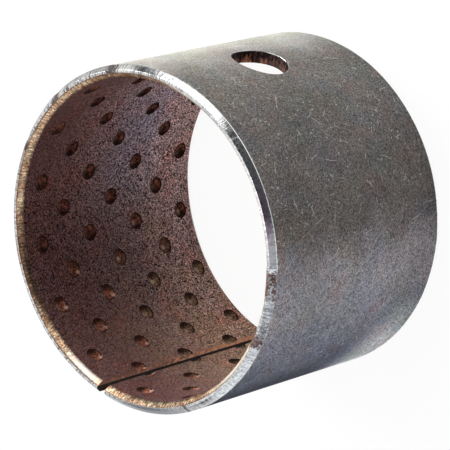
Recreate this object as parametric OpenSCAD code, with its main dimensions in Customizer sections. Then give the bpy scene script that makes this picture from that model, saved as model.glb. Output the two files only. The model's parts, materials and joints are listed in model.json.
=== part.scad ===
// Wrapped split bush: a steel strip with a bronze lining, rolled into a sleeve with an open seam.
// The axis is +Z, the bush stands on its lower end at z = 0, and the oil hole faces +X.
// Sizes are in millimetres.

/* [Sleeve] */
// Outside diameter, which is pressed into a housing
outside_d = 68; // [50:0.5:90]
// Thickness of the whole wall, steel and bronze together
wall_t = 2.5; // [2.2:0.1:4]
// Length along the axis
length = 51; // [30:0.5:80]
// Thickness of the bronze lining that is sintered to the steel
lining_t = 1; // [0.8:0.05:1.2]

/* [Ends] */
// Radial size of the lead-in chamfer on the steel
lead_in_r = 0.95; // [0.3:0.05:0.95]
// Axial size of the lead-in chamfer on the steel
lead_in_l = 1.1; // [0.4:0.05:2]
// Flat of bronze that is left on each end face, outside the bore chamfer
lining_land = 0.1; // [0.05:0.05:0.3]
// Axial size of the chamfer at each end of the bore
bore_chamfer_l = 1.2; // [0.4:0.05:2]

/* [Seam] */
// Width of the open seam where the two ends of the strip face each other
seam_gap = 2; // [0.5:0.1:4]
// Angle round the axis from the oil hole to the middle of the seam
seam_angle = 178; // [150:1:210]

/* [Oil hole] */
// Diameter of the oil hole
oil_hole_d = 11.3; // [4:0.1:16]

/* [Grease pockets] */
// Diameter of a pocket where it breaks the bore
pocket_d = 3.4; // [2:0.1:4]
// Depth of a pocket below the bore
pocket_depth = 0.5; // [0.3:0.05:0.6]
// Distance along the axis between the pockets of one column
pocket_pitch = 13.7; // [10:0.1:18]
// Shift of the whole pattern along the axis from the middle of the length
pocket_shift = -0.8; // [-2:0.1:2]
// Least distance from an end of the bush to the middle of a pocket
pocket_margin = 4; // [3.5:0.1:8]
// Angle of the crown column, measured from the oil hole
crown_angle = 2; // [-5:0.5:5]
// Columns between the crown and the seam, on the side of growing angle
columns_ahead = 15; // [7:2:19]
// Columns between the crown and the seam, on the other side
columns_behind = 17; // [7:2:19]
// Angle from one column to the next, on the side of growing angle
step_ahead = 11.52; // [10.5:0.01:11.6]
// Angle from one column to the next, on the other side
step_behind = 10.79; // [10:0.01:11]

/* [Hidden] */
$fn = 180;
// How far a cutting tool runs past the face that it cuts
overrun = 1;
pocket_fn = 48;
outside_r = outside_d / 2;
bore_r = outside_r - wall_t;
bond_r = bore_r + lining_t;
lining_face_r = bond_r - lining_land;
middle_z = length / 2;
// A pocket is a cap of a ball that is pressed into the lining from the bore
ball_r = (pow(pocket_d / 2, 2) + pow(pocket_depth, 2)) / (2 * pocket_depth);
ball_centre_r = bore_r + pocket_depth - ball_r;
// The columns alternate between pockets at whole steps and at half steps from the pattern's middle
pattern_z = middle_z + pocket_shift;
half_span = min(pattern_z, length - pattern_z) - pocket_margin;
whole_steps = floor(half_span / pocket_pitch);
half_steps = floor(half_span / pocket_pitch + 1 / 2);
whole_column = [for (k = [-whole_steps : whole_steps]) pattern_z + k * pocket_pitch];
half_column = [for (k = [-half_steps : half_steps - 1]) pattern_z + (k + 1 / 2) * pocket_pitch];

// The open seam: a straight slot through one side of the wall, along the whole length
module seam_slot() {
    rotate([0, 0, seam_angle])
        translate([bore_r / 2, -seam_gap / 2, -overrun])
            cube([bore_r / 2 + wall_t + overrun, seam_gap, length + 2 * overrun]);
}

// The oil hole: one round hole through one side of the wall, at the middle of the length
module oil_hole() {
    translate([bore_r / 2, 0, middle_z])
        rotate([0, 90, 0])
            cylinder(d = oil_hole_d, h = bore_r / 2 + wall_t + overrun);
}

// One column of grease pockets, at the given angle and heights
module pocket_column(angle, heights) {
    rotate([0, 0, angle])
        for (z = heights)
            translate([ball_centre_r, 0, z])
                sphere(r = ball_r, $fn = pocket_fn);
}

// All the pockets, from the crown to the seam both ways, with every other column half a step along
module grease_pockets() {
    for (k = [-columns_behind : columns_ahead])
        pocket_column(
            crown_angle + k * (k < 0 ? step_behind : step_ahead),
            k % 2 == 0 ? half_column : whole_column
        );
}

// The steel strip, with a lead-in chamfer round the outside of each end
module steel_back() {
    color([0.42, 0.42, 0.43])
        difference() {
            rotate_extrude()
                polygon([
                    [bond_r, 0],
                    [outside_r - lead_in_r, 0],
                    [outside_r, lead_in_l],
                    [outside_r, length - lead_in_l],
                    [outside_r - lead_in_r, length],
                    [bond_r, length]
                ]);
            seam_slot();
            oil_hole();
        }
}

// The bronze lining, chamfered at each end of the bore and indented with grease pockets
module bronze_lining() {
    color([0.45, 0.31, 0.24])
        difference() {
            rotate_extrude()
                polygon([
                    [bore_r, bore_chamfer_l],
                    [lining_face_r, 0],
                    [bond_r, 0],
                    [bond_r, length],
                    [lining_face_r, length],
                    [bore_r, length - bore_chamfer_l]
                ]);
            seam_slot();
            oil_hole();
            grease_pockets();
        }
}

steel_back();
bronze_lining();
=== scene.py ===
import json
import math

import bmesh
import bpy
from mathutils import Matrix, Vector


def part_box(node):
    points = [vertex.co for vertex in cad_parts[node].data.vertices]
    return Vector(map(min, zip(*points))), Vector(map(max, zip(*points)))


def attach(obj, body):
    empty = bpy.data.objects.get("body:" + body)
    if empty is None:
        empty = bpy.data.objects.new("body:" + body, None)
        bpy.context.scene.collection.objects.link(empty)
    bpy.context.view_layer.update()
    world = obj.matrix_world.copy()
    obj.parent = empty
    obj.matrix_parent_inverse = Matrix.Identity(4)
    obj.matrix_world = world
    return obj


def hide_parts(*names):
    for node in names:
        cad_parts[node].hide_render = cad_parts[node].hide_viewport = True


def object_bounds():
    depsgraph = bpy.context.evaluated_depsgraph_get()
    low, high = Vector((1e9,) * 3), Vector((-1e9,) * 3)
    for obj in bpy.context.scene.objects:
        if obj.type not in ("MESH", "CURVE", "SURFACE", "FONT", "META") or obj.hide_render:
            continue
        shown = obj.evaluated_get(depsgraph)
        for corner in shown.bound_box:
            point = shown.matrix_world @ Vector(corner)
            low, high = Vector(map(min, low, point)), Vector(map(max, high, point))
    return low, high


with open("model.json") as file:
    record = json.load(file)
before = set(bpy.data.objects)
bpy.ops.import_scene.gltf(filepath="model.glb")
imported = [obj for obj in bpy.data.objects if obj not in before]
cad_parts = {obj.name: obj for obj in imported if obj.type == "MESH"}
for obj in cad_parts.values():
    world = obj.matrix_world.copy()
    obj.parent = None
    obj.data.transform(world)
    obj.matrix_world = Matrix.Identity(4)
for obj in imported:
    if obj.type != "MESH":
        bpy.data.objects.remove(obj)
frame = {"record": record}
cad_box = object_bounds()

# Sizes of the bush, in metres, from the frame where it holds them
MM = 0.001
MOUNTS = {m["name"]: m for m in frame["record"]["mounts"]}
BORE_R = MOUNTS["bore"]["dims"]["r_mm"] * MM
OUTSIDE_R = MOUNTS["housing_seat"]["dims"]["r_mm"] * MM
HOLE_R = MOUNTS["oil_hole"]["dims"]["r_mm"] * MM
HOLE_Z = MOUNTS["oil_hole"]["pos_m"][2]
BOND_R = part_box("bronze_lining")[1].x
LENGTH = cad_box[1].z
LEAD_IN_L = (LENGTH - MOUNTS["housing_seat"]["dims"]["length_mm"] * MM) / 2
BORE_CHAMFER_L = (LENGTH - MOUNTS["bore"]["dims"]["length_mm"] * MM) / 2
LEAD_IN_R = 0.95 * MM
LINING_LAND = 0.1 * MM
SEAM_GAP = 2 * MM
SEAM_ANGLE = math.radians(178)

# The grease pockets: columns round the bore, counted from the crown column beside the oil hole
POCKET_R = 1.7 * MM
POCKET_DEPTH = 0.5 * MM
POCKET_PITCH = 13.7 * MM
PATTERN_Z = LENGTH / 2 - 0.8 * MM
CROWN_ANGLE = math.radians(2)
STEP_AHEAD = math.radians(11.52)
STEP_BEHIND = math.radians(10.79)
COLUMNS_AHEAD = 15
COLUMNS_BEHIND = 17
# Radius of the ball that presses a pocket
POCKET_BALL = (POCKET_R**2 + POCKET_DEPTH**2) / (2 * POCKET_DEPTH)
# Depth that the pressing of a pocket rounds off its rim
RIM_SOFTNESS = 0.03 * MM

# Rounding of the edges: worn on the outside, crisp at the bond
WORN_EDGE = 0.15 * MM
FACE_EDGE = 0.02 * MM
BOND_EDGE = 0.05 * MM
BORE_EDGE = 0.08 * MM
HOLE_EDGE = 0.1 * MM
EDGE_STEPS = 4
# The largest share of a stretch that the rounding of one of its corners takes
CORNER_SHARE = 0.45
# Distance from a rounded corner to the first row of a sheet, in reaches of the rounding
EDGE_MARGIN = 2.5

# Fineness of the meshes
STEEL_STEP = math.radians(0.75)
STEEL_ROWS = 80
# Half the columns and half the rows that the sheets leave open round the oil hole
HOLE_BLOCK = (16, 12)
# Where rows of points lie on the way from that opening to the hole's rim, as shares of the way
HOLE_SPREAD = (0.4, 0.75)
# Cells from one pocket column to the next, and half the cells that a pocket leaves open
CELLS = 10
POCKET_BLOCK = 4
# Circles of points round a pocket's middle, in radii of the pocket
POCKET_CIRCLES = (1.3, 1.1, 1.02, 0.97, 0.9, 0.78, 0.62, 0.42, 0.2)
# Least distance from a row or column to an end of its sheet, in steps
ROW_CLEARANCE = 0.1
COLUMN_CLEARANCE = 1 / 3
SHARP_ANGLE = math.radians(32)
DRILL_SIDES = 112
DRILL_LENGTH = 12 * MM
# How near a face lies to the drill, and how little its normal leans along it, to count as the hole's wall
HOLE_TOUCH = 0.05 * MM
HOLE_WALL_LEAN = 0.3

# Dents in the rims, as (angle from the oil hole in degrees, height, radius, reach, depth in millimetres)
NEAR_RIM_NICKS = [
    (25, 50.2, 33.4, 0.9, 0.35),
    (55, 50.3, 33.3, 1.1, 0.4),
    (77, 50.2, 33.3, 1.0, 0.4),
    (217, 50.6, 32.9, 0.6, 0.25),
    (262, 50.4, 33.2, 0.8, 0.25),
    (283, 50.3, 33.4, 0.9, 0.25),
    (305, 49.8, 33.9, 0.5, 0.15),
    (128, 49.9, 33.9, 0.7, 0.2),
    (330, 49.9, 33.9, 0.5, 0.15),
]
FAR_RIM_NICKS = [
    (40, 0.8, 33.6, 0.8, 0.25),
    (118, 0.7, 33.4, 1.0, 0.3),
    (231, 0.9, 33.7, 0.7, 0.25),
    (322, 0.8, 33.5, 0.6, 0.2),
]


class Skin:
    """Collects points and faces, with a column number for each point and a material number for each face."""

    def __init__(self):
        self.points = []
        self.along = []
        self.faces = []
        self.marks = []

    def point(self, place, along=0):
        self.points.append(tuple(place))
        self.along.append(along)
        return len(self.points) - 1

    def face(self, corners, mark):
        self.faces.append(corners)
        self.marks.append(mark)

    def strip(self, first, second, mark, closed=False):
        """Joins two rows of as many points with quads."""
        n = len(first)
        for i in range(n if closed else n - 1):
            k = (i + 1) % n
            self.face((first[i], first[k], second[k], second[i]), mark)

    def strips(self, loops, marks, closed=False):
        """Joins each row to the next, each strip in its own material."""
        for first, second, mark in zip(loops, loops[1:], marks):
            self.strip(first, second, mark, closed)

    def mesh(self, name):
        made = bpy.data.meshes.new(name)
        made.from_pydata(self.points, [], self.faces)
        made.polygons.foreach_set("material_index", self.marks)
        return made


def on_ring(angle, radius, z):
    return (radius * math.cos(angle), radius * math.sin(angle), z)


def rounded(corners, reaches):
    """A polyline in (radius, height) with each inner corner rounded over its own reach."""
    made = [corners[0]]
    for before, corner, after, reach in zip(corners, corners[1:], corners[2:], reaches):
        b, c, a = Vector(before), Vector(corner), Vector(after)
        start = c + (b - c).normalized() * min(reach, (b - c).length * CORNER_SHARE)
        end = c + (a - c).normalized() * min(reach, (a - c).length * CORNER_SHARE)
        for i in range(EDGE_STEPS + 1):
            t = i / EDGE_STEPS
            made.append(tuple(start * (1 - t) ** 2 + c * 2 * t * (1 - t) + end * t**2))
    made.append(corners[-1])
    return made


def flipped(profile):
    """The same polyline at the other end of the bush."""
    return [(r, LENGTH - z) for r, z in profile]


def nicked(place):
    """Presses a point of a rim inwards where a nick is."""
    p = Vector(place)
    for angle, z, radius, reach, depth in NEAR_RIM_NICKS + FAR_RIM_NICKS:
        centre = Vector(on_ring(math.radians(angle), radius * MM, z * MM))
        near = math.exp(-2 * ((p - centre).length / (reach * MM)) ** 2)
        inward = Vector((-centre.x, -centre.y, LENGTH / 2 - centre.z)).normalized()
        p += inward * (near * depth * MM)
    return p


def block_ring(grid, i0, i1, j0, j1):
    """The grid's points round a block of cells, in order, and their (column, row)."""
    around = [(i, j0) for i in range(i0, i1)]
    around += [(i1, j) for j in range(j0, j1)]
    around += [(i, j1) for i in range(i1, i0, -1)]
    around += [(i0, j) for j in range(j1, j0, -1)]
    return [grid[ij] for ij in around], around


def block_at(column, row, half_columns, half_rows):
    """A block of cells, as its first and last column and its first and last row."""
    return column - half_columns, column + half_columns, row - half_rows, row + half_rows


def lay_sheet(skin, angles, radius, rows, along, blocks, mark):
    """Quads on a cylinder, with blocks of cells left open. Returns the point numbers by (column, row)."""
    n_columns = len(angles)
    inside = set()
    open_cells = set()
    for i0, i1, j0, j1 in blocks:
        inside.update((i, j) for i in range(i0 + 1, i1) for j in range(j0 + 1, j1))
        open_cells.update((i, j) for i in range(i0, i1) for j in range(j0, j1))
    grid = {}
    for i in range(n_columns):
        for j in range(len(rows)):
            if (i, j) not in inside:
                grid[i, j] = skin.point(on_ring(angles[i], radius, rows[j]), along[i])
    for i in range(n_columns - 1):
        for j in range(len(rows) - 1):
            if (i, j) not in open_cells:
                corners = (grid[i, j], grid[i + 1, j], grid[i + 1, j + 1], grid[i, j + 1])
                skin.face(corners, mark)
    return grid


def finished(name, mesh, materials, node):
    """Makes a piece of a mesh: shades it, dresses it and lets it stand for its CAD node."""
    for m in materials:
        mesh.materials.append(m)
    mesh.validate()
    mesh.shade_smooth()
    mesh.set_sharp_from_angle(angle=SHARP_ANGLE)
    piece = bpy.data.objects.new(name, mesh)
    bpy.context.scene.collection.objects.link(piece)
    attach(piece, "root")
    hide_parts(node)
    return piece


# The steel back
OUTSIDE, MACHINED, STEEL_CUT, STEEL_HOLE = range(4)


def steel_columns():
    """Angles of the columns from one end of the strip to the other, without the two cut ends."""
    half = math.asin(SEAM_GAP / 2 / BOND_R) + STEEL_STEP * COLUMN_CLEARANCE
    first = math.ceil((SEAM_ANGLE + half - math.tau) / STEEL_STEP)
    last = math.floor((SEAM_ANGLE - half) / STEEL_STEP)
    return [k * STEEL_STEP for k in range(first, last + 1)]


def strip_angles(columns, radius):
    """The columns with the two cut ends, which are parallel planes, at that radius."""
    half = math.asin(SEAM_GAP / 2 / radius)
    return [SEAM_ANGLE + half - math.tau] + columns + [SEAM_ANGLE - half]


def hole_rim(spots, radius):
    """Points round the oil hole, given across and along the bush, on a cylinder about the bush's axis."""
    return [(math.sqrt(radius**2 - y**2), y, HOLE_Z + h) for y, h in spots]


def steel_ends(skin, columns, rows, outer, inner):
    """Both ends: from the outside over the lead-in chamfer and the end face to the bond."""
    high = rows[-1]
    near = rounded(
        [
            (OUTSIDE_R, high),
            (OUTSIDE_R, LENGTH - LEAD_IN_L),
            (OUTSIDE_R - LEAD_IN_R, LENGTH),
            (BOND_R, LENGTH),
            (BOND_R, high),
        ],
        (WORN_EDGE, FACE_EDGE, BOND_EDGE),
    )
    n_columns = len(columns) + 2
    ends = []
    for profile, row in ((flipped(near), 0), (near, len(rows) - 1)):
        loops = [[outer[i, row] for i in range(n_columns)]]
        for r, z in profile[1:-1]:
            loops.append([skin.point(nicked(on_ring(a, r, z))) for a in strip_angles(columns, r)])
        loops.append([inner[i, row] for i in range(n_columns)])
        skin.strips(loops, [OUTSIDE] + [MACHINED] * (len(loops) - 3) + [STEEL_CUT])
        ends.append(loops)
    return ends


def steel_cuts(skin, columns, rows, outer, inner, ends):
    """The two cut ends of the strip, one face each."""
    far_loops, near_loops = ends
    for i in (0, len(columns) + 1):
        edge = [loop[i] for loop in reversed(far_loops)]
        edge += [outer[i, j] for j in range(1, len(rows) - 1)]
        edge += [loop[i] for loop in near_loops]
        edge += [inner[i, j] for j in range(len(rows) - 2, 0, -1)]
        skin.face(tuple(edge), STEEL_CUT)


def steel_hole(skin, columns, rows, block, outer, inner):
    """The oil hole, with its rim broken on the outside."""
    ring_out, around = block_ring(outer, *block)
    ring_in, _ = block_ring(inner, *block)
    angles = strip_angles(columns, OUTSIDE_R)
    flat = [(OUTSIDE_R * math.sin(angles[i]), rows[j] - HOLE_Z) for i, j in around]
    aim = [math.atan2(h, y) for y, h in flat]

    def circle(radius):
        return [(math.cos(a) * radius, math.sin(a) * radius) for a in aim]

    def add_loop(spots, radius):
        loops.append([skin.point(p) for p in hole_rim(spots, radius)])

    loops = [ring_out]
    rim = circle(HOLE_R + HOLE_EDGE)
    for t in HOLE_SPREAD:
        add_loop([(y + (ry - y) * t, h + (rh - h) * t) for (y, h), (ry, rh) in zip(flat, rim)], OUTSIDE_R)
    for i in range(EDGE_STEPS + 1):
        turn = math.pi / 2 * i / EDGE_STEPS
        drop = HOLE_EDGE * (1 - math.cos(turn))
        add_loop(circle(HOLE_R + HOLE_EDGE * (1 - math.sin(turn))), OUTSIDE_R - drop)
    add_loop(circle(HOLE_R), BOND_R)
    loops.append(ring_in)
    marks = [OUTSIDE] * (len(HOLE_SPREAD) + 1) + [MACHINED] * EDGE_STEPS + [STEEL_HOLE, STEEL_CUT]
    skin.strips(loops, marks, closed=True)


def steel_mesh():
    skin = Skin()
    columns = steel_columns()
    low = LEAD_IN_L + WORN_EDGE * EDGE_MARGIN
    high = LENGTH - low
    rows = [low + (high - low) * j / STEEL_ROWS for j in range(STEEL_ROWS + 1)]
    block = block_at(1 + columns.index(0.0), STEEL_ROWS // 2, *HOLE_BLOCK)
    sheets = []
    for radius, mark in ((OUTSIDE_R, OUTSIDE), (BOND_R, STEEL_CUT)):
        angles = strip_angles(columns, radius)
        sheets.append(lay_sheet(skin, angles, radius, rows, angles, [block], mark))
    ends = steel_ends(skin, columns, rows, *sheets)
    steel_cuts(skin, columns, rows, *sheets, ends)
    steel_hole(skin, columns, rows, block, *sheets)
    mesh = skin.mesh("steel_back_skin")
    made = bmesh.new()
    made.from_mesh(mesh)
    bmesh.ops.recalc_face_normals(made, faces=made.faces)
    made.to_mesh(mesh)
    made.free()
    return mesh


# The bronze lining
BORE, POCKET, CHAMFER, BRONZE_CUT, BRONZE_HOLE = range(5)


def column_angle(k):
    return CROWN_ANGLE + k * (STEP_AHEAD if k > 0 else STEP_BEHIND)


def pocket_depth(distance):
    """Depth of a pocket below the bore, at a distance from its middle: a ball's cap with a soft rim."""
    cap = math.sqrt(max(POCKET_BALL**2 - distance**2, 0)) - (POCKET_BALL - POCKET_DEPTH)
    return (cap + math.sqrt(cap**2 + 4 * RIM_SOFTNESS**2)) / 2


def lining_rows():
    """Heights of the rows along the bore, and the (column, row) of the pockets' middles."""
    row_step = POCKET_PITCH / 2 / CELLS
    low = BORE_CHAMFER_L + BORE_EDGE * EDGE_MARGIN
    high = LENGTH - low
    first_row = math.ceil((low - PATTERN_Z) / row_step + ROW_CLEARANCE)
    last_row = math.floor((high - PATTERN_Z) / row_step - ROW_CLEARANCE)
    rows = [low] + [PATTERN_Z + m * row_step for m in range(first_row, last_row + 1)] + [high]
    pockets = []
    for k in range(-COLUMNS_BEHIND, COLUMNS_AHEAD + 1):
        shift = CELLS if k % 2 == 0 else 0
        for m in range(first_row, last_row + 1):
            row = m - first_row + 1
            fits = POCKET_BLOCK <= row < len(rows) - POCKET_BLOCK
            if fits and (m - shift) % (2 * CELLS) == 0:
                pockets.append(((k + COLUMNS_BEHIND) * CELLS + POCKET_BLOCK, row))
    return rows, pockets


def press_pocket(skin, ring, flat, angle, z, k):
    """One pocket in its opening: ring is the points round it, and flat where they lie from its middle."""
    loops = [ring]
    for share in POCKET_CIRCLES:
        reach = POCKET_R * share
        loop = []
        for s, h in flat:
            way = math.hypot(s, h)
            turn = angle + s / way * reach / BORE_R
            spot = on_ring(turn, BORE_R + pocket_depth(reach), z + h / way * reach)
            loop.append(skin.point(spot, k))
        loops.append(loop)
    skin.strips(loops, [BORE if share > 1 else POCKET for share in POCKET_CIRCLES], closed=True)
    middle = skin.point(on_ring(angle, BORE_R + pocket_depth(0), z), k)
    last = loops[-1]
    for n in range(len(last)):
        skin.face((last[n], last[(n + 1) % len(last)], middle), POCKET)


def lining_ends(skin, rows, angles, ks, grid):
    """Both ends, from the bore over its chamfer to the bond, and the bonded side between them."""
    near = rounded(
        [
            (BORE_R, rows[-1]),
            (BORE_R, LENGTH - BORE_CHAMFER_L),
            (BOND_R - LINING_LAND, LENGTH),
            (BOND_R, LENGTH),
        ],
        (BORE_EDGE, BOND_EDGE),
    )
    ends = []
    for profile, row in ((flipped(near), 0), (near, len(rows) - 1)):
        loops = [[grid[i, row] for i in range(len(ks))]]
        for r, z in profile[1:]:
            loops.append([skin.point(on_ring(a, r, z), k) for a, k in zip(angles, ks)])
        skin.strips(loops, [BORE] + [CHAMFER] * (len(loops) - 2))
        ends.append(loops[-1])
    skin.strip(*ends, BRONZE_CUT)


def lining_mesh():
    skin = Skin()
    spare = POCKET_BLOCK / CELLS
    n_columns = (COLUMNS_AHEAD + COLUMNS_BEHIND) * CELLS + 2 * POCKET_BLOCK + 1
    ks = [-COLUMNS_BEHIND - spare + i / CELLS for i in range(n_columns)]
    angles = [column_angle(k) for k in ks]
    rows, pockets = lining_rows()
    blocks = [block_at(i, j, POCKET_BLOCK, POCKET_BLOCK) for i, j in pockets]
    grid = lay_sheet(skin, angles, BORE_R, rows, ks, blocks, BORE)
    for (i, j), block in zip(pockets, blocks):
        ring, around = block_ring(grid, *block)
        flat = [(BORE_R * (angles[a] - angles[i]), rows[b] - rows[j]) for a, b in around]
        press_pocket(skin, ring, flat, angles[i], rows[j], ks[i])
    lining_ends(skin, rows, angles, ks, grid)
    return drilled(cut_lining(skin.mesh("bronze_lining_blank"), skin.along))


def cut_lining(mesh, along):
    """Cuts the lining off square at both sides of the seam. along is each point's column number."""
    seam = Vector(on_ring(SEAM_ANGLE, 1, 0))
    across = Vector((-seam.y, seam.x, 0))
    made = bmesh.new()
    made.from_mesh(mesh)
    bmesh.ops.recalc_face_normals(made, faces=made.faces)
    made.verts.ensure_lookup_table()
    ends = {
        -1: [v for v, k in zip(made.verts, along) if k > COLUMNS_AHEAD - 1],
        1: [v for v, k in zip(made.verts, along) if k < 1 - COLUMNS_BEHIND],
    }
    for side, verts in ends.items():
        faces = {f for v in verts for f in v.link_faces}
        edges = {e for f in faces for e in f.edges}
        corners = {v for f in faces for v in f.verts}
        bmesh.ops.bisect_plane(
            made,
            geom=[*corners, *edges, *faces],
            plane_co=across * (side * SEAM_GAP / 2),
            plane_no=across * -side,
            clear_outer=True,
        )
    rims = [e for e in made.edges if e.is_boundary]
    for f in bmesh.ops.holes_fill(made, edges=rims, sides=0)["faces"]:
        f.material_index = BRONZE_CUT
    bmesh.ops.recalc_face_normals(made, faces=made.faces)
    made.to_mesh(mesh)
    made.free()
    return mesh


def drilled(mesh):
    """Drills the oil hole through one side of the lining."""
    drill = bmesh.new()
    turn = Matrix.Translation((BORE_R, 0, HOLE_Z)) @ Matrix.Rotation(math.pi / 2, 4, "Y")
    bmesh.ops.create_cone(
        drill,
        cap_ends=True,
        segments=DRILL_SIDES,
        radius1=HOLE_R,
        radius2=HOLE_R,
        depth=DRILL_LENGTH,
        matrix=turn,
    )
    drill_mesh = bpy.data.meshes.new("drill")
    drill.to_mesh(drill_mesh)
    drill.free()
    blank = bpy.data.objects.new("blank", mesh)
    tool = bpy.data.objects.new("drill", drill_mesh)
    for o in (blank, tool):
        bpy.context.scene.collection.objects.link(o)
    cut = blank.modifiers.new("oil_hole", "BOOLEAN")
    cut.operation = "DIFFERENCE"
    cut.solver = "EXACT"
    cut.object = tool
    made = bpy.data.meshes.new_from_object(blank.evaluated_get(bpy.context.evaluated_depsgraph_get()))
    for o in (blank, tool):
        bpy.data.objects.remove(o)
    for f in made.polygons:
        on_wall = abs(math.hypot(f.center.y, f.center.z - HOLE_Z) - HOLE_R) < HOLE_TOUCH
        if on_wall and f.center.x > 0 and abs(f.normal.x) < HOLE_WALL_LEAN:
            f.material_index = BRONZE_HOLE
    return made


# Radii and heights for the materials, in millimetres
BORE_MM = BORE_R / MM
BOND_MM = BOND_R / MM
OUTSIDE_MM = OUTSIDE_R / MM
# Where the end face meets the lead-in chamfer
CHAMFER_MM = (OUTSIDE_R - LEAD_IN_R) / MM
HOLE_Z_MM = HOLE_Z / MM
WHITE = (1, 1, 1, 1)
# Radius of the smallest dots, how much larger the largest are, and half the width of their soft rim, in cells
DOT_LEAST = 0.25
DOT_SPREAD = 0.3
DOT_SOFTNESS = 0.08
# The share of a spot's reach over which it is full
SPOT_CORE = 0.35
# How far a scratch bends and how far its ends taper, as shares of its length, and how fine the bends are
SCRATCH_BEND = 0.45
SCRATCH_TAPER = 0.3
SCRATCH_SWAY = 0.5
# How far the borders of the outside's zones wander to each side, in degrees
ZONE_WANDER = 12


class Paint:
    """Builds the nodes of one material. Textures measure in millimetres, and masks go from 0 to 1."""

    def __init__(self, name, **finish):
        self.material = bpy.data.materials.new(name)
        self.material.use_nodes = True
        self.tree = self.material.node_tree
        self.shader = self.tree.nodes["Principled BSDF"]
        for key, value in finish.items():
            self.shader.inputs[key.replace("_", " ")].default_value = value
        place = self.add("ShaderNodeTexCoord").outputs["Object"]
        self.mm = self.vector("SCALE", {0: place, "Scale": 1 / MM})[0]
        x, y, self.z = self.add("ShaderNodeSeparateXYZ", {0: self.mm}).outputs
        self.angle = self.math("ARCTAN2", y, x)
        self.degrees = self.math("MULTIPLY", self.angle, 180 / math.pi)
        across = self.add("ShaderNodeCombineXYZ", {0: x, 1: y}).outputs[0]
        self.radius = self.vector("LENGTH", {0: across})["Value"]
        # The wall rolled out flat: distance round the outside, height, depth
        arc = self.math("MULTIPLY", self.angle, OUTSIDE_MM)
        self.flat = self.add("ShaderNodeCombineXYZ", {0: arc, 1: self.z, 2: self.radius}).outputs[0]

    def add(self, kind, inputs=(), **settings):
        made = self.tree.nodes.new(kind)
        for key, value in settings.items():
            setattr(made, key, value)
        for key, value in dict(inputs).items():
            self.put(made.inputs[key], value)
        return made

    def put(self, socket, value):
        if isinstance(value, bpy.types.NodeSocket):
            self.tree.links.new(value, socket)
        else:
            socket.default_value = value

    def math(self, operation, a, b=0.0, c=0.0):
        return self.add("ShaderNodeMath", {0: a, 1: b, 2: c}, operation=operation).outputs[0]

    def vector(self, operation, inputs):
        return self.add("ShaderNodeVectorMath", inputs, operation=operation).outputs

    def moved(self, place, shift, stretch=(1, 1, 1)):
        values = {"Vector": place, "Scale": stretch, "Location": (shift, shift, shift)}
        return self.add("ShaderNodeMapping", values).outputs[0]

    def noise(self, scale, detail=4, roughness=0.55, vector=None, stretch=(1, 1, 1), shift=0):
        place = self.moved(vector or self.mm, shift, stretch)
        values = {"Vector": place, "Scale": scale, "Detail": detail, "Roughness": roughness}
        return self.add("ShaderNodeTexNoise", values).outputs[0]

    def chances(self, cells):
        """The three chance values of each cell of a Voronoi texture."""
        return self.add("ShaderNodeSeparateColor", {0: cells.outputs["Color"]}).outputs

    def grains(self, size, shift=0, vector=None):
        """Grains of that size, each with three chance values from 0 to 1."""
        place = self.moved(vector or self.mm, shift)
        return self.chances(self.add("ShaderNodeTexVoronoi", {"Vector": place, "Scale": 1 / size}))

    def flat_cells(self, place, size):
        """Cells of a loose grid on the wall rolled out flat."""
        values = {"Vector": place, "Scale": 1 / size}
        return self.add("ShaderNodeTexVoronoi", values, voronoi_dimensions="2D")

    def dots(self, size, share, shift=0):
        """Round dots in that share of the cells of a loose grid: 1 in a dot's middle and 0 outside it."""
        cells = self.flat_cells(self.moved(self.flat, shift), size)
        chance = self.chances(cells)
        there = self.math("LESS_THAN", chance[0], share)
        reach = self.math("MULTIPLY_ADD", chance[1], DOT_SPREAD, DOT_LEAST)
        inside = self.math("SUBTRACT", reach, cells.outputs["Distance"])
        return self.all_of(there, self.rise(inside, -DOT_SOFTNESS, DOT_SOFTNESS))

    def rise(self, value, low, high, bottom=0.0, top=1.0):
        """bottom below low, top above high, and smooth between."""
        values = {"Value": value, "From Min": low, "From Max": high, "To Min": bottom, "To Max": top}
        return self.add("ShaderNodeMapRange", values, interpolation_type="SMOOTHSTEP").outputs[0]

    def mix(self, factor, a, b):
        values = {0: factor, 6: a, 7: b}
        return self.add("ShaderNodeMix", values, data_type="RGBA").outputs[2]

    def tinted(self, factor, tone, tint):
        """A colour that is multiplied by a tint, as far as the factor says."""
        values = {0: factor, 6: tone, 7: tint}
        return self.add("ShaderNodeMix", values, data_type="RGBA", blend_type="MULTIPLY").outputs[2]

    def scaled(self, tone, factor):
        """A colour made lighter or darker by that factor."""
        return self.vector("SCALE", {0: tone, "Scale": factor})[0]

    def changed(self, tone, mask, change):
        """A colour made lighter by that share where the mask is 1, or darker where the share is negative."""
        return self.scaled(tone, self.math("MULTIPLY_ADD", mask, change, 1.0))

    def all_of(self, first, *others):
        """The product of masks and shares."""
        for mask in others:
            first = self.math("MULTIPLY", first, mask)
        return first

    def any_of(self, first, *others):
        """The highest of masks."""
        for mask in others:
            first = self.math("MAXIMUM", first, mask)
        return first

    def band(self, value, low, low_end, high, high_end):
        """1 between low_end and high, falling to 0 at low and at high_end."""
        return self.all_of(self.rise(value, low, low_end), self.rise(value, high, high_end, 1, 0))

    def facing(self, degrees):
        """1 at that angle from the oil hole, 0 a quarter turn away and -1 on the other side."""
        return self.math("COSINE", self.math("SUBTRACT", self.angle, math.radians(degrees)))

    def near_angle(self, degrees, reach):
        """1 at that angle from the oil hole, falling to 0 at that many degrees from it."""
        off = self.math("SUBTRACT", self.angle, math.radians((degrees + 180) % 360 - 180))
        off = self.math("ABSOLUTE", self.math("WRAP", off, math.pi, -math.pi))
        return self.rise(off, 0, math.radians(reach), 1, 0)

    def near_angles(self, *places):
        """The same for several places, each given as (degrees, reach)."""
        return self.any_of(*[self.near_angle(*place) for place in places])

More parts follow.
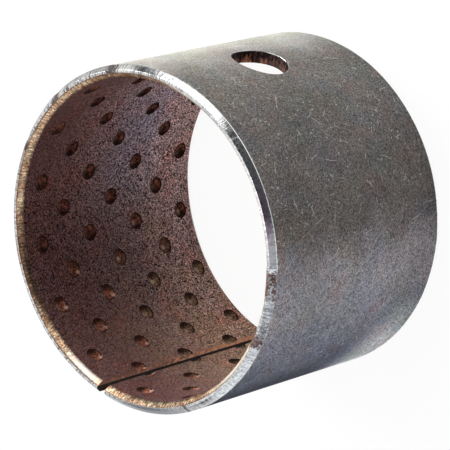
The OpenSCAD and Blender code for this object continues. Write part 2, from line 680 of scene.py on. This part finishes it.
    def pocket_place(self):
        """Distances in millimetres from a pocket's middle, round the bore and along it.

        They come from how the ball's surface leans there.
        """
        normal = self.add("ShaderNodeNewGeometry").outputs["Normal"]
        round_way = self.vector("CROSS_PRODUCT", {0: (0, 0, 1), 1: self.mm})[0]
        round_way = self.vector("NORMALIZE", {0: round_way})[0]
        lean_round = self.vector("DOT_PRODUCT", {0: normal, 1: round_way})["Value"]
        lean_along = self.add("ShaderNodeSeparateXYZ", {0: normal}).outputs[2]
        return [self.math("MULTIPLY", lean, -POCKET_BALL / MM) for lean in (lean_round, lean_along)]

    def spot(self, place, middle, reach):
        """1 round that middle in flat coordinates, falling to 0 at that reach."""
        off = {n: self.math("SUBTRACT", a, b) for n, (a, b) in enumerate(zip(place, middle))}
        flat = self.add("ShaderNodeCombineXYZ", off).outputs[0]
        return self.rise(self.vector("LENGTH", {0: flat})["Value"], reach * SPOT_CORE, reach, 1, 0)

    def scratches(self, cell, length, width, shift=0):
        """Short bent scratches, one in each cell of a loose grid, each in its own direction."""
        place = self.moved(self.flat, shift)
        values = {"Vector": place, "Scale": SCRATCH_SWAY, "Detail": 1.0}
        sway = self.add("ShaderNodeTexNoise", values).outputs[1]
        bend = length * SCRATCH_BEND
        place = self.vector("MULTIPLY_ADD", {0: sway, 1: (bend, bend, 0), 2: place})[0]
        cells = self.flat_cells(place, cell)
        local = self.vector("SUBTRACT", {0: place, 1: cells.outputs["Position"]})[0]
        chance = self.chances(cells)
        values = {"Vector": local, "Angle": self.math("MULTIPLY", chance[0], math.tau)}
        turned = self.add("ShaderNodeVectorRotate", values, rotation_type="Z_AXIS").outputs[0]
        x, y, _ = self.add("ShaderNodeSeparateXYZ", {0: turned}).outputs
        reach = self.math("MULTIPLY", chance[1], length)
        along = self.math("SUBTRACT", reach, self.math("ABSOLUTE", x))
        across = self.math("ABSOLUTE", y)
        tapered = self.rise(along, 0, length * SCRATCH_TAPER)
        return self.all_of(self.rise(across, 0, width, 1, 0), tapered, chance[2])

    def bump(self, height, depth, under=None):
        """Raises the surface by depth, in millimetres, where height is 1."""
        values = {"Height": height, "Distance": depth * MM, "Strength": 1.0}
        if under:
            values["Normal"] = under
        return self.add("ShaderNodeBump", values).outputs[0]

    def dress(self, colour=None, roughness=None, normal=None, metallic=None):
        parts = {"Base Color": colour, "Roughness": roughness, "Normal": normal, "Metallic": metallic}
        for key, value in parts.items():
            if value is not None:
                self.put(self.shader.inputs[key], value)
        return self.material


# The materials. Angles are in degrees from the oil hole, and heights from the end that the bush stands on.


def outside_zones(p, turn, painted_navy_mask):
    """The colours round the outside, from the crown both ways to the hidden side. The pale crown is a painted
    highlight; below it come painted light and reflection: a lighter violet-grey band, blue-grey, dark navy,
    and a bright patch near the end it stands on.
    """
    brown_oxide = (0.15, 0.136, 0.13, 1)
    grey_oxide = (0.168, 0.158, 0.147, 1)
    painted_crown_highlight = (0.46, 0.446, 0.412, 1)
    hidden_dark = (0.13, 0.124, 0.117, 1)
    hidden_grey = (0.17, 0.161, 0.152, 1)
    painted_light_violet = (0.365, 0.34, 0.36, 1)
    painted_reflection_blue = (0.22, 0.23, 0.285, 1)
    painted_reflection_navy = (0.02, 0.026, 0.05, 1)
    painted_bounce_light = (0.75, 0.75, 0.76, 1)
    tone = p.mix(p.rise(turn, -55, -5), brown_oxide, grey_oxide)
    # Painted highlight: the crown is made pale
    tone = p.mix(p.rise(turn, -11, 32), tone, painted_crown_highlight)
    tone = p.mix(p.rise(turn, 40, 70), tone, hidden_dark)
    tone = p.mix(p.rise(turn, 95, 150), tone, hidden_grey)
    # Painted light and reflection below: a lighter violet-grey band, then blue-grey, then dark navy
    tone = p.mix(p.rise(turn, -82, -64, 1, 0), tone, painted_light_violet)
    tone = p.mix(p.rise(turn, -114, -88, 1, 0), tone, painted_reflection_blue)
    tone = p.mix(painted_navy_mask, tone, painted_reflection_navy)
    # Painted light: a bright patch low down near the end it stands on
    painted_bounce_mask = p.all_of(p.rise(turn, -124, -96, 1, 0), p.rise(p.z, 4, 18, 1, 0))
    tone = p.mix(painted_bounce_mask, tone, painted_bounce_light)
    return p.mix(p.rise(turn, -172, -138, 1, 0), tone, hidden_grey)


def outside_tints(p, tone, tints):
    """Broad stains on the outside: lighter and darker, reddish, bluish and olive."""
    tone = p.scaled(tone, p.rise(p.noise(0.1, 4, 0.6, shift=170), 0.35, 0.65, 0.9, 1.11))
    red = p.rise(p.noise(0.18, 5, 0.6, shift=40), 0.5, 0.66)
    tone = p.tinted(p.all_of(red, tints), tone, (1.06, 0.92, 0.89, 1))
    cool = p.rise(p.noise(0.12, 4, 0.6, shift=90), 0.48, 0.62)
    tone = p.tinted(p.all_of(cool, tints), tone, (0.89, 0.96, 1.04, 1))
    olive = p.rise(p.noise(0.1, 4, 0.6, shift=140), 0.46, 0.6)
    return p.tinted(olive, tone, (0.95, 0.99, 0.93, 1))


def aged_steel():
    """The rolled outside: dull oxide with a painted highlight above, brown round the middle, and painted
    light and reflection below, violet to navy.
    """
    red_speck = (0.15, 0.085, 0.085, 1)
    blue_speck = (0.09, 0.105, 0.14, 1)
    light_fleck = (0.62, 0.61, 0.58, 1)
    dark_fleck = (0.04, 0.035, 0.035, 1)
    scratched = (0.68, 0.67, 0.63, 1)
    rusty = (0.26, 0.15, 0.11, 1)
    p = Paint("aged_steel", Metallic=0.0, Specular_IOR_Level=0.02)
    # The angle, made to wander
    turn = p.math("MULTIPLY_ADD", p.noise(0.07, 5, 0.6), 2 * ZONE_WANDER, p.degrees)
    turn = p.math("SUBTRACT", turn, ZONE_WANDER)
    # Where the painted dark navy reflection and the painted crown highlight lie
    painted_navy_mask = p.all_of(p.rise(turn, -132, -108, 1, 0), p.rise(p.z, 10, 22))
    painted_highlight = p.band(turn, -15, 20, 45, 75)
    tints = p.rise(painted_highlight, 0, 1, 0.85, 0.35)
    tone = outside_tints(p, outside_zones(p, turn, painted_navy_mask), tints)

    # Fine grain
    chance = p.grains(0.19)
    coarse = p.noise(1.3, 3, 0.7, shift=7)
    speck = p.math("MULTIPLY_ADD", p.math("SUBTRACT", chance[0], 0.5), p.rise(painted_highlight, 0, 1, 1.3, 0.75), 1.0)
    grain = p.all_of(p.rise(coarse, 0.25, 0.75, 0.92, 1.08), speck)
    tone = p.scaled(tone, grain)
    tone = p.mix(p.all_of(p.rise(chance[1], 0.7, 1, 0, 0.35), tints), tone, red_speck)
    tone = p.mix(p.all_of(p.rise(chance[2], 0.7, 1, 0, 0.35), tints), tone, blue_speck)

    # Flecks and scratches, which show less on the painted highlight and on the painted navy reflection
    patchy = p.rise(p.noise(0.3, 4, 0.6, shift=200), 0.45, 0.65)
    bare = p.rise(p.any_of(painted_navy_mask, painted_highlight), 0, 1, 1, 0.2)
    fleck = p.grains(0.3, 51)
    tone = p.mix(p.all_of(p.rise(fleck[0], 0.94, 0.98, 0, 0.7), patchy, bare), tone, light_fleck)
    tone = p.mix(p.all_of(p.rise(fleck[1], 0.9, 0.96, 0, 0.5), bare), tone, dark_fleck)
    short = p.all_of(p.scratches(2.2, 0.8, 0.1, 31), p.rise(patchy, 0, 1, 0.3, 1))
    lines = p.any_of(p.scratches(5.0, 2.4, 0.09), p.scratches(4.1, 1.7, 0.08, 77), short)
    lines = p.all_of(lines, p.rise(chance[2], 0, 0.5, 0.4, 1), bare)
    tone = p.mix(lines, tone, scratched)

    # A thin line of rust beside the near end
    stain = p.all_of(p.near_angle(-71, 10), p.band(p.z, 47.4, 48, 48.6, 49.1), p.rise(chance[1], 0.2, 0.7))
    tone = p.mix(stain, tone, rusty)
    rough = p.rise(p.noise(0.5, 5, 0.65, shift=60), 0.3, 0.7, 0.52, 0.7)
    normal = p.bump(lines, -0.02, p.bump(grain, 0.006))
    return p.dress(tone, rough, normal)


def ring_stains_and_painted_reflections(p, tone, cloud, on_chamfer):
    """The lighter and darker stretches round the end faces and the lead-in chamfers: a brown stain and a
    violet tint, with painted reflections: duller where the lamps' reflection fades, dark blue-grey low down,
    lighter patches, and a white painted highlight along the outer edge.
    """
    # Painted reflection: duller where the lamps' reflection fades
    painted_dim_reflection = p.all_of(p.near_angle(30, 34), p.rise(on_chamfer, 0, 1, 0.15, 0.5))
    tone = p.mix(painted_dim_reflection, tone, (0.2, 0.2, 0.19, 1))
    brown = p.any_of(p.near_angles((81, 13), (120, 10)), p.all_of(p.near_angle(97, 50), 0.35))
    brown = p.all_of(brown, p.rise(cloud, 0.35, 0.6, 0.5, 0.85))
    tone = p.mix(brown, tone, (0.34, 0.24, 0.19, 1))
    # Painted dark reflection: blue-grey round 199 degrees
    tone = p.mix(p.all_of(p.near_angle(199, 30), 0.95), tone, (0.15, 0.165, 0.185, 1))
    inner = p.rise(p.radius, OUTSIDE_MM - 0.35, OUTSIDE_MM - 0.15, 1, 0)
    violet = p.all_of(p.near_angle(303, 18), inner, on_chamfer)
    tone = p.tinted(violet, tone, (1.0, 0.74, 0.95, 1))
    # Painted highlights: a lighter stretch of face and of chamfer, and a white line along the outer edge
    painted_bright_face = p.all_of(p.near_angle(306, 26), p.rise(on_chamfer, 0, 1, 0.4, 0))
    painted_bright_chamfer = p.all_of(p.near_angle(290, 14), p.rise(on_chamfer, 0, 1, 0, 0.9))
    tone = p.changed(tone, p.any_of(painted_bright_face, painted_bright_chamfer), 1.0)
    painted_edge_highlight = p.all_of(p.rise(p.radius, OUTSIDE_MM - 0.15, OUTSIDE_MM - 0.08), p.near_angle(329, 22))
    return p.mix(painted_edge_highlight, tone, (0.97, 0.97, 0.97, 1))


def ring_rust(p, on_chamfer):
    """Rust at two places of the near end and in the nicks. Returns where it is and its colour."""
    dark_rust = (0.05, 0.028, 0.025, 1)
    red_rust = (0.18, 0.1, 0.085, 1)
    nick_rust = (0.035, 0.024, 0.022, 1)
    nicks = p.near_angles((27, 4), (56, 4), (79, 4))
    stains = p.all_of(p.near_angles((259, 6), (280, 9)), p.rise(on_chamfer, 0, 1, 1, 0.8))
    rust = p.any_of(stains, nicks)
    crust = p.noise(1.5, 6, 0.85, shift=22)
    ragged = p.rise(p.math("MULTIPLY_ADD", crust, 4.6, rust), 2.8, 2.95)
    ragged = p.all_of(ragged, p.rise(rust, 0.02, 0.2))
    tone = p.mix(p.rise(p.noise(2.4, 3, 0.6, shift=5), 0.4, 0.6), dark_rust, red_rust)
    return ragged, p.mix(p.rise(nicks, 0.05, 0.5), tone, nick_rust)


def machined_steel():
    """The turned end faces and lead-in chamfers: bright, with radial ticks of the tool, stains, rust and
    painted reflections.
    """
    grey = (0.52, 0.525, 0.53, 1)
    light_grey = (0.72, 0.72, 0.72, 1)
    ticked = (0.13, 0.125, 0.13, 1)
    spotted = (0.13, 0.125, 0.14, 1)
    dark_speck = (0.06, 0.055, 0.05, 1)
    dark_cut = (0.08, 0.055, 0.045, 1)
    cut_places = ((25, 0.6), (55, 0.55), (79, 1.4), (90, 0.5), (122, 0.5), (155, 0.5), (217, 0.9))
    p = Paint("machined_steel", Metallic=1.0)
    cloud = p.noise(1.3, 4, 0.65)
    on_chamfer = p.rise(p.radius, CHAMFER_MM - 0.1, CHAMFER_MM + 0.1)
    tone = p.mix(p.rise(cloud, 0.35, 0.65), grey, light_grey)

    # The tool's ticks, deeper along one stretch of the ring and faint along two
    faint = p.near_angles((232, 44), (322, 58))
    tick = p.noise(2.4, 2, 0.6, vector=p.flat, stretch=(1, 0.2, 0.2))
    deep = p.math("MULTIPLY_ADD", p.near_angle(46, 48), 0.35, p.math("MULTIPLY_ADD", faint, -0.52, 0.6))
    tone = p.mix(p.all_of(p.rise(tick, 0.5, 0.58), deep), tone, ticked)
    tone = p.mix(p.rise(p.noise(2.0, 3, 0.6, shift=70), 0.58, 0.66, 0, 0.7), tone, spotted)
    tone = ring_stains_and_painted_reflections(p, tone, cloud, on_chamfer)

    # Dark specks along the worn outer edge, and dark cuts across the ring
    rim = p.all_of(p.rise(p.radius, OUTSIDE_MM - 0.45, OUTSIDE_MM - 0.15), p.near_angle(75, 75))
    specks = p.rise(p.noise(1.9, 2, 0.6, shift=35), 0.5, 0.56, 0, 0.9)
    tone = p.mix(p.all_of(rim, specks), tone, dark_speck)
    cuts = p.rise(p.near_angles(*cut_places), 0.1, 0.6, 0, 0.85)
    tone = p.mix(p.all_of(cuts, p.rise(cloud, 0.3, 0.5, 0.4, 1)), tone, dark_cut)
    ragged, rusty = ring_rust(p, on_chamfer)
    tone = p.mix(ragged, tone, rusty)

    # Rougher in the rust and where the photograph's reflections fade
    fade_above = p.all_of(p.near_angle(21, 12), 0.42)
    fade_below = p.all_of(p.near_angle(294, 18), p.rise(on_chamfer, 0, 1, 0.1, 0.45))
    rough = p.any_of(p.rise(cloud, 0.3, 0.7, 0.13, 0.24), p.all_of(ragged, 0.75), fade_above, fade_below)
    return p.dress(tone, rough, p.bump(tick, 0.02), p.rise(ragged, 0, 1, 1, 0.15))


def cut_steel():
    """The sheared edges of the strip: almost black, partly painted shade of the seam's gap."""
    p = Paint("cut_steel", Metallic=0.05, Specular_IOR_Level=0.06)
    streaks = p.noise(0.9, 5, 0.65)
    tone = p.mix(p.rise(streaks, 0.4, 0.7), (0.01, 0.008, 0.008, 1), (0.05, 0.03, 0.024, 1))
    return p.dress(tone, p.rise(streaks, 0.3, 0.7, 0.5, 0.75), p.bump(streaks, 0.05))


def drilled_wall():
    """The oil hole's wall, steel and bronze alike: near black and darker toward the outside, with red-brown
    streaks along the drilling.
    """
    near_black_wall = (0.016, 0.01, 0.01, 1)
    brown = (0.12, 0.065, 0.056, 1)
    copper = (0.36, 0.16, 0.095, 1)
    p = Paint("drilled_wall", Metallic=0.05, Specular_IOR_Level=0.06)
    streak = p.noise(1.6, 4, 0.65, stretch=(0.25, 1, 1))
    from_middle = p.math("ABSOLUTE", p.math("SUBTRACT", p.z, HOLE_Z_MM - 2.6))
    side = p.rise(from_middle, 0, 4.5, 0.12, -0.1)
    outward_darkening = p.rise(p.radius, BOND_MM - 0.6, OUTSIDE_MM - 0.5, 0.08, -0.1)
    tone = p.mix(p.rise(p.math("ADD", streak, outward_darkening), 0.4, 0.62), near_black_wall, brown)
    bare = p.rise(p.math("ADD", streak, p.math("ADD", side, outward_darkening)), 0.56, 0.74)
    tone = p.mix(bare, tone, copper)
    tone = p.scaled(tone, p.math("MULTIPLY_ADD", p.grains(0.22, 3)[0], 1.2, 0.4))
    return p.dress(tone, p.rise(streak, 0.3, 0.7, 0.5, 0.75), p.bump(streak, 0.08))


def bore_zones(p):
    """The bore's broad colours, with painted light and shade, and the mask of its smooth stretches."""
    brown_bronze = (0.46, 0.325, 0.235, 1)
    violet_bronze = (0.42, 0.325, 0.325, 1)
    cool_bronze = (0.37, 0.36, 0.46, 1)
    red_bronze = (0.25, 0.125, 0.105, 1)
    broad = p.noise(0.12, 5, 0.65)
    share = p.math("ADD", p.facing(78), p.math("MULTIPLY_ADD", broad, 2.4, -1.2))
    tone = p.mix(p.rise(share, -0.2, 0.9), brown_bronze, violet_bronze)
    cool = p.all_of(p.near_angle(80, 46), p.band(p.z, 8, 17, 24, 36), p.rise(broad, 0.35, 0.55, 0.5, 1))
    tone = p.mix(cool, tone, cool_bronze)
    tone = p.mix(p.rise(p.z, 20, 44, 0, 0.9), tone, red_bronze)
    # Painted light: lighter toward the far end, as if lit through the far opening
    tone = p.scaled(tone, p.rise(p.z, 3, 28, 1.75, 1.0))
    tone = p.changed(tone, p.all_of(p.near_angle(129, 50), p.rise(p.z, 6, 20, 0.6, 1)), -0.5)
    tone = p.changed(tone, p.near_angle(58, 22), 0.3)
    # Painted shade on the seam's side toward the near end
    tone = p.changed(tone, p.all_of(p.rise(p.z, 22, 40), p.near_angle(192, 64)), -0.45)
    tone = p.changed(tone, p.all_of(p.rise(p.z, 36, 48), p.near_angle(194, 50)), -0.35)
    # Painted shadow along the upper part of the near rim, where the pits are also fewer
    painted_rim_shadow = p.all_of(p.rise(p.z, 30, 47), p.near_angle(66, 52))
    tone = p.changed(tone, painted_rim_shadow, -0.5)
    red = p.rise(p.noise(0.16, 4, 0.6, shift=63), 0.5, 0.65)
    tone = p.tinted(red, tone, (1.1, 0.9, 0.86, 1))
    smooth = p.any_of(p.all_of(p.rise(p.z, 4, 32, 0.4, 1), p.near_angle(178, 62)), painted_rim_shadow)
    return tone, smooth


def sintered_bronze():
    """The bore: matt bronze, red-brown and violet, densely speckled with grains and tiny dark pits."""
    blue_speck = (0.2, 0.2, 0.3, 1)
    red_speck = (0.42, 0.13, 0.1, 1)
    dark_pit = (0.008, 0.005, 0.006, 1)
    p = Paint("sintered_bronze", Metallic=0.0, Specular_IOR_Level=0.03)
    tone, smooth = bore_zones(p)
    chance = p.grains(0.19)
    clump = p.noise(0.9, 3, 0.7, shift=11)
    speck = p.math("MULTIPLY_ADD", p.math("SUBTRACT", chance[0], 0.5), p.rise(smooth, 0, 1, 2.1, 1.3), 1.12)
    grain = p.all_of(p.rise(clump, 0.3, 0.7, 0.85, 1.15), speck)
    tone = p.scaled(tone, grain)
    tone = p.mix(p.rise(chance[1], 0.65, 1, 0, 0.5), tone, blue_speck)
    tone = p.mix(p.rise(chance[2], 0.65, 1, 0, 0.45), tone, red_speck)
    pits = p.any_of(p.dots(0.26, 0.68), p.dots(0.5, 0.1, 33))
    pits = p.all_of(pits, p.rise(smooth, 0, 1, 1, 0.65))
    tone = p.mix(pits, tone, dark_pit)
    rough = p.rise(clump, 0.3, 0.7, 0.6, 0.75)
    normal = p.bump(pits, -0.03, p.bump(grain, 0.006))
    return p.dress(tone, rough, normal)


def pocket_painted_glint(p, place, low, far):
    """Where the painted glints are: in the middle of a far pocket, and beside the rim of a near one."""
    at_far = p.all_of(p.spot(place, (0.3, 0.3), 0.75), far, p.rise(p.degrees, 100, 135, 0.06, 0.42))
    at_near = p.all_of(p.spot(place, (0.75, -1.0), 0.54), p.rise(far, 0, 1, 1, 0), low)
    own = p.rise(p.noise(0.11, 1, 0.5, shift=17), 0.4, 0.55, 0.6, 1)
    broken = p.rise(p.noise(2.2, 2, 0.6, shift=44), 0.38, 0.55, 0.45, 1)
    return p.all_of(p.any_of(at_far, at_near), own, broken)


def pocket_bronze():
    """The pressed pockets: red-brown and darker at the rim, with a painted shadow crescent on one side,
    painted light on the other, and small painted glints low down.
    """
    dark_brown = (0.035, 0.015, 0.013, 1)
    red_brown = (0.2, 0.075, 0.052, 1)
    copper = (0.34, 0.14, 0.085, 1)
    near_bare = (0.29, 0.12, 0.078, 1)
    far_bare = (0.23, 0.155, 0.105, 1)
    painted_light_flank = (0.22, 0.14, 0.105, 1)
    shadow_and_rim_dark = (0.014, 0.007, 0.006, 1)
    painted_near_glint = (1.0, 0.68, 0.55, 1)
    painted_far_glint = (1.0, 0.86, 0.7, 1)
    p = Paint("pocket_bronze", Specular_IOR_Level=0.02)
    place = p.pocket_place()
    low = p.any_of(p.rise(p.degrees, 118, 142), p.rise(p.degrees, -145, -130, 1, 0))
    far = p.rise(p.z, 22, 32, 1, 0)
    tone = p.mix(p.rise(p.noise(0.9, 4, 0.65), 0.4, 0.6), dark_brown, red_brown)
    # Painted light: pockets just inside the near rim, high up, are lighter copper
    painted_light_beside_rim = p.all_of(p.rise(p.z, 40, 44), p.rise(p.degrees, 70, 110, 1, 0))
    tone = p.mix(p.all_of(painted_light_beside_rim, 0.5), tone, copper)
    tone = p.mix(p.all_of(low, 0.85), tone, p.mix(far, near_bare, far_bare))
    # Painted light on the side of each pocket toward the near end
    tone = p.mix(p.rise(place[1], 0.3, 1.1, 0, 0.5), tone, painted_light_flank)
    tone = p.scaled(tone, p.math("MULTIPLY_ADD", p.grains(0.26, 90)[0], 1.7, 0.15))
    # Painted shadow: a dark crescent on one side of each pocket; the rims are darker too
    shade = p.mix(low, p.rise(place[0], -0.1, 1.2, 0, 0.8), p.rise(place[0], -1.2, 0.1, 0.9, 0))
    depth = p.math("SUBTRACT", p.radius, BORE_MM)
    tone = p.mix(p.any_of(shade, p.rise(depth, 0.06, 0.24, 0.95, 0)), tone, shadow_and_rim_dark)
    # Painted glints: pale spots, also made metallic and smooth, so that they reflect the lamps too
    painted_glint = pocket_painted_glint(p, place, low, far)
    tone = p.mix(painted_glint, tone, p.mix(far, painted_near_glint, painted_far_glint))
    return p.dress(tone, p.rise(painted_glint, 0, 1, 0.65, 0.28), p.bump(p.noise(2.5, 3, 0.6), 0.015), painted_glint)


def chamfer_edges(p, tone, bare):
    """The dark inner edge and the dark line at the bond, mostly left out along the wide painted highlight."""
    stained = p.rise(bare, 0, 0.3, 1, 0)
    inner = p.rise(p.radius, BORE_MM + 0.05, BORE_MM + 0.4, 0.6, 0)
    wide = p.all_of(p.near_angle(128, 34), p.rise(p.radius, BORE_MM + 0.3, BORE_MM + 0.6, 0.75, 0))
    low = p.all_of(p.near_angle(229, 22), p.rise(p.radius, BORE_MM + 0.1, BORE_MM + 0.4, 0.8, 0))
    inner = p.any_of(p.all_of(p.any_of(inner, wide), stained), low)
    tone = p.changed(tone, inner, -1.0)
    edge = p.math("MULTIPLY_ADD", p.noise(1.6, 3, 0.6, shift=4), 0.3, p.math("SUBTRACT", p.radius, 0.15))
    edge = p.math("MULTIPLY_ADD", p.near_angle(166, 18), 0.14, edge)
    bond = p.rise(edge, BOND_MM - 0.24, BOND_MM - 0.1, 0, 0.85)
    return p.mix(p.all_of(bond, stained), tone, (0.08, 0.045, 0.03, 1))


def turned_bronze():
    """The bore's chamfers: bare bronze torn into small beads by the tool, dark at the bond, with painted
    highlights in cream and a painted dark reflection.
    """
    bronze = (0.88, 0.5, 0.29, 1)
    light_bronze = (1.0, 0.71, 0.47, 1)
    painted_dull_reflection = (0.24, 0.14, 0.095, 1)
    olive_bronze = (0.5, 0.4, 0.27, 1)
    painted_highlight_cream = (0.95, 0.87, 0.74, 1)
    torn_dark = (0.2, 0.09, 0.05, 1)
    rusty = (0.12, 0.06, 0.05, 1)
    p = Paint("turned_bronze", Metallic=0.65)
    cloud = p.noise(0.4, 4, 0.6)
    tone = p.mix(p.rise(cloud, 0.35, 0.65), bronze, light_bronze)
    # Painted dark reflection: a duller stretch of the chamfer round 124 degrees
    tone = p.mix(p.all_of(p.near_angle(124, 28), 0.85), tone, painted_dull_reflection)
    beside_seam = p.near_angle(203, 26)
    tone = p.mix(p.all_of(beside_seam, 0.85), tone, olive_bronze)
    tone = p.changed(tone, p.near_angle(44, 16), 0.7)
    # Painted highlights: cream round 167 and 243 degrees and along a wide stretch round 303 degrees
    bare = p.near_angle(303, 76)
    painted_highlight = p.any_of(p.near_angles((167, 13), (243, 20)), p.rise(bare, 0, 0.3))
    tone = p.mix(painted_highlight, tone, painted_highlight_cream)

    # Beads, with ticks of the tool between them
    tick = p.noise(2.7, 1, 0.5, vector=p.flat, stretch=(1, 0.25, 0.25), shift=8)
    chance = p.grains(0.24, 0, p.flat)
    deep = p.rise(beside_seam, 0, 0.5, 0.55, 0.35)
    bead = p.all_of(p.rise(chance[0], 0.1, 0.9, 0.55, 1.3), p.rise(tick, 0.44, 0.54, 1.25, deep))
    tone = p.scaled(tone, p.mix(p.all_of(painted_highlight, 0.75), bead, WHITE))
    torn = p.all_of(p.rise(chance[1], 0.7, 1, 0, 0.7), p.rise(painted_highlight, 0, 1, 1, 0.15))
    tone = p.mix(torn, tone, torn_dark)

    tone = chamfer_edges(p, tone, bare)
    tone = p.changed(tone, p.near_angle(342, 18), -0.5)
    rust = p.near_angles((260, 6), (281, 7))
    tone = p.mix(p.rise(rust, 0.1, 0.5, 0, 0.9), tone, rusty)
    rough = p.rise(cloud, 0.3, 0.7, 0.25, 0.38)
    return p.dress(tone, rough, p.bump(chance[0], 0.03), p.rise(painted_highlight, 0, 1, 0.65, 0.4))


def cut_bronze():
    """The lining's sheared edges at the seam: red-brown at the near end and bare orange at the far end."""
    p = Paint("cut_bronze", Metallic=0.4)
    streaks = p.noise(1.2, 5, 0.65)
    bare = p.math("ADD", streaks, p.rise(p.z, 12, 44, 0.06, -0.14))
    tone = p.mix(p.rise(bare, 0.36, 0.6), (0.27, 0.105, 0.062, 1), (0.85, 0.42, 0.23, 1))
    return p.dress(tone, p.rise(streaks, 0.3, 0.7, 0.4, 0.6), p.bump(streaks, 0.05))


# The pieces
hole_wall = drilled_wall()
steel_materials = [aged_steel(), machined_steel(), cut_steel(), hole_wall]
bronze_materials = [sintered_bronze(), pocket_bronze(), turned_bronze(), cut_bronze(), hole_wall]
finished("steel_back_skin", steel_mesh(), steel_materials, "steel_back")
finished("bronze_lining_skin", lining_mesh(), bronze_materials, "bronze_lining")

# The floor: pale, white to the camera and to reflections, with part of the shadow kept
FLOOR_SIZE = 6.0
FLOOR_COLOUR = (0.9, 0.9, 0.9, 1)
FLOOR_GLOW = 0.93


def floor_material():
    made = bpy.data.materials.new("pale_floor")
    made.use_nodes = True
    nodes, links = made.node_tree.nodes, made.node_tree.links
    nodes.clear()
    matt = nodes.new("ShaderNodeBsdfDiffuse")
    matt.inputs["Color"].default_value = FLOOR_COLOUR
    glow = nodes.new("ShaderNodeEmission")
    path = nodes.new("ShaderNodeLightPath")
    seen = path.outputs["Is Camera Ray"]
    for other in ("Is Glossy Ray", "Is Transmission Ray"):
        either = nodes.new("ShaderNodeMath")
        either.operation = "MAXIMUM"
        links.new(seen, either.inputs[0])
        links.new(path.outputs[other], either.inputs[1])
        seen = either.outputs[0]
    share = nodes.new("ShaderNodeMath")
    share.operation = "MULTIPLY"
    share.inputs[1].default_value = FLOOR_GLOW
    links.new(seen, share.inputs[0])
    mixed = nodes.new("ShaderNodeMixShader")
    links.new(share.outputs[0], mixed.inputs[0])
    links.new(matt.outputs[0], mixed.inputs[1])
    links.new(glow.outputs[0], mixed.inputs[2])
    links.new(mixed.outputs[0], nodes.new("ShaderNodeOutputMaterial").inputs["Surface"])
    return made


bpy.ops.mesh.primitive_plane_add(size=FLOOR_SIZE, location=(0, 0, 0))
floor = bpy.context.object
floor.name = "floor"
floor.data.materials.append(floor_material())

# Soft studio light, as (name, azimuth from the oil hole and elevation in degrees, size, watts, colour)
MIDDLE = Vector((0, 0, LENGTH / 2))
LAMP_DISTANCE = 0.6
LAMPS = [
    ("key", 72, 32, 0.35, 4.9, (1, 0.985, 0.96)),
    ("top", 23, 22, 0.46, 1.5, (1, 1, 1)),
    ("back", 125, 47, 0.4, 0.48, (1, 1, 1)),
    ("side", -152, 13, 0.42, 0.6, (0.92, 0.96, 1)),
    ("fill", -107, 29, 0.34, 0.3, (0.88, 0.93, 1)),
    ("overhead", 125, 88, 0.35, 2.4, (1, 0.98, 0.96)),
]
for name, azimuth, elevation, size, watts, colour in LAMPS:
    lamp = bpy.data.lights.new(name, "AREA")
    lamp.shape = "SQUARE"
    lamp.size = size
    lamp.energy = watts
    lamp.color = colour
    holder = bpy.data.objects.new(name, lamp)
    a, e = math.radians(azimuth), math.radians(elevation)
    way = Vector((math.cos(a) * math.cos(e), math.sin(a) * math.cos(e), math.sin(e)))
    holder.location = MIDDLE + way * LAMP_DISTANCE
    holder.rotation_euler = way.to_track_quat("Z", "Y").to_euler()
    bpy.context.scene.collection.objects.link(holder)

WORLD_COLOUR = (0.9, 0.95, 1, 1)
WORLD_STRENGTH = 0.1
world = bpy.data.worlds.new("studio")
world.use_nodes = True
world.node_tree.nodes["Background"].inputs["Color"].default_value = WORLD_COLOUR
world.node_tree.nodes["Background"].inputs["Strength"].default_value = WORLD_STRENGTH
bpy.context.scene.world = world
bpy.context.scene.view_settings.view_transform = "Standard"

# The camera, at the photograph's place: the bush stands, and the view is rolled so that it seems to lie
CAMERA_PLACE = Vector((0.23689, -0.34099, 0.47558))
CAMERA_AIM = Vector((-0.00112, -0.0004, 0.0255))
CAMERA_ROLL = math.radians(104.529)
CAMERA_LENS = 248.84
SENSOR = 36
CLIP_START = 0.01
CLIP_END = 20
camera = bpy.data.objects.new("camera", bpy.data.cameras.new("camera"))
camera.data.lens = CAMERA_LENS
camera.data.sensor_width = SENSOR
camera.data.clip_start = CLIP_START
camera.data.clip_end = CLIP_END
upright = (CAMERA_AIM - CAMERA_PLACE).to_track_quat("-Z", "Y").to_matrix().to_4x4()
camera.matrix_world = Matrix.Translation(CAMERA_PLACE) @ upright @ Matrix.Rotation(-CAMERA_ROLL, 4, "Z")
bpy.context.scene.collection.objects.link(camera)
bpy.context.scene.camera = camera
